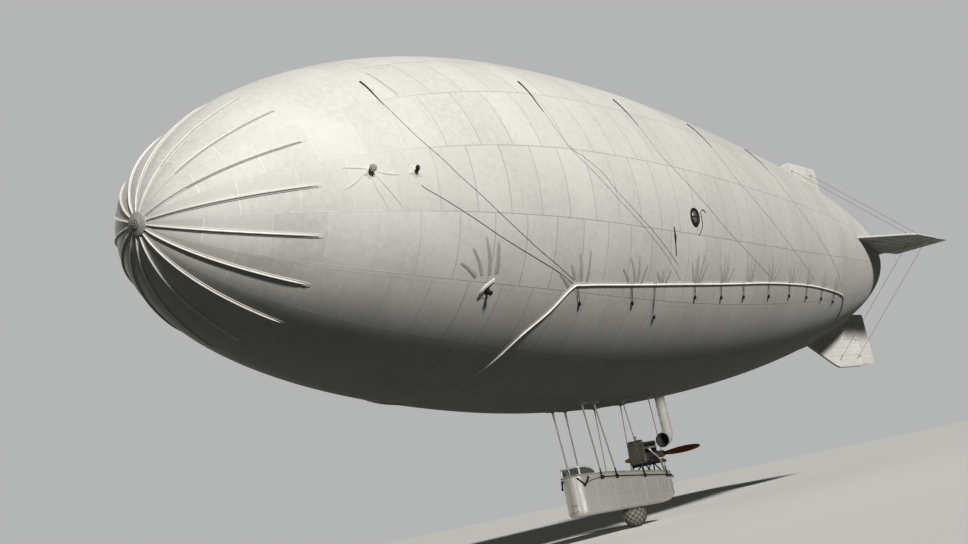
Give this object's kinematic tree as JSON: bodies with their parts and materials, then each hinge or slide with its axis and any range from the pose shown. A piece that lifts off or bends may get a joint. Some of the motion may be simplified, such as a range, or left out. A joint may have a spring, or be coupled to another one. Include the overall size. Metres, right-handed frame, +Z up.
{
  "type": "soft airship, 1:2 scale model",
  "caption": "Soft airship: slender gas envelope with nose battens, side belts, cross tail with rudder and elevators, and a slung open gondola with a pusher propeller. 1:2 scale model.",
  "frame": {"origin": "centre of lift of the envelope, on its axis 10.2 m aft of the nose tip", "axes": "+X forward to the nose, +Y to port, +Z up"},
  "size_m": [23.035, 4.9588, 6.789],
  "materials": {
    "doped_fabric": "satin",
    "white_webbing": "matt",
    "dark_metal": "satin",
    "white_enamel": "satin",
    "wire_rope": "satin",
    "varnished_wood": "gloss",
    "leather": "satin",
    "brass_metal": "satin",
    "cast_metal": "matt",
    "clear_glass": "clear",
    "canvas": "matt"
  },
  "bodies": {
    "root": {"envelope": "doped_fabric", "nose_cap": "dark_metal", "nose_battens": "white_webbing", "port_belt": "white_webbing", "starboard_belt": "white_webbing", "port_gas_valve": "dark_metal", "port_forward_sleeve": "canvas", "port_aft_sleeve": "canvas", "port_line_fitting": "dark_metal", "starboard_gas_valve": "dark_metal", "starboard_forward_sleeve": "canvas", "starboard_aft_sleeve": "canvas", "starboard_line_fitting": "dark_metal", "upper_fin": "doped_fabric", "lower_fin": "doped_fabric", "port_stabiliser": "doped_fabric", "starboard_stabiliser": "doped_fabric", "port_upper_forward_stay": "wire_rope", "port_lower_forward_stay": "wire_rope", "starboard_upper_forward_stay": "wire_rope", "starboard_lower_forward_stay": "wire_rope", "port_upper_aft_stay": "wire_rope", "port_lower_aft_stay": "wire_rope", "starboard_upper_aft_stay": "wire_rope", "starboard_lower_aft_stay": "wire_rope", "gondola_hull": "white_enamel", "gondola_rim": "leather", "rear_deck": "white_enamel", "cabin_floor": "varnished_wood", "instrument_board": "varnished_wood", "control_stand": "varnished_wood", "front_seat": "leather", "rear_seat": "leather", "windscreen_frame": "white_enamel", "front_pane": "clear_glass", "port_pane": "clear_glass", "starboard_pane": "clear_glass", "port_suspension": "wire_rope", "starboard_suspension": "wire_rope", "engine_frame": "dark_metal", "engine_block": "cast_metal", "radiator": "brass_metal", "exhaust_pipe": "cast_metal", "air_duct": "white_webbing", "duct_scoop": "white_webbing", "bumper": "canvas"},
    "propeller": {"propeller": "varnished_wood"},
    "rudder": {"rudder": "doped_fabric"},
    "port_elevator": {"port_elevator": "doped_fabric"},
    "starboard_elevator": {"starboard_elevator": "doped_fabric"}
  },
  "joints": [
    {"name": "propeller_spin", "type": "hinge", "parent": "root", "child": "propeller", "pos_m": [0.075, 0, -3.28], "axis": [1, 0, 0], "continuous": true},
    {"name": "rudder_swing", "type": "hinge", "parent": "root", "child": "rudder", "pos_m": [-10.7, 0, -1.5], "axis": [0, 0, 1], "range_deg": [-25, 25]},
    {"name": "port_elevator_tilt", "type": "hinge", "parent": "root", "child": "port_elevator", "pos_m": [-10.7, 1.75, 0.174], "axis": [0, 1, 0], "range_deg": [-25, 25]},
    {"name": "starboard_elevator_tilt", "type": "hinge", "parent": "root", "child": "starboard_elevator", "pos_m": [-10.7, -1.75, 0.174], "axis": [0, 1, 0], "range_deg": [-25, 25]}
  ],
  "couplings": [
    {"joint": "starboard_elevator_tilt", "follows": "port_elevator_tilt", "ratio": 1}
  ]
}
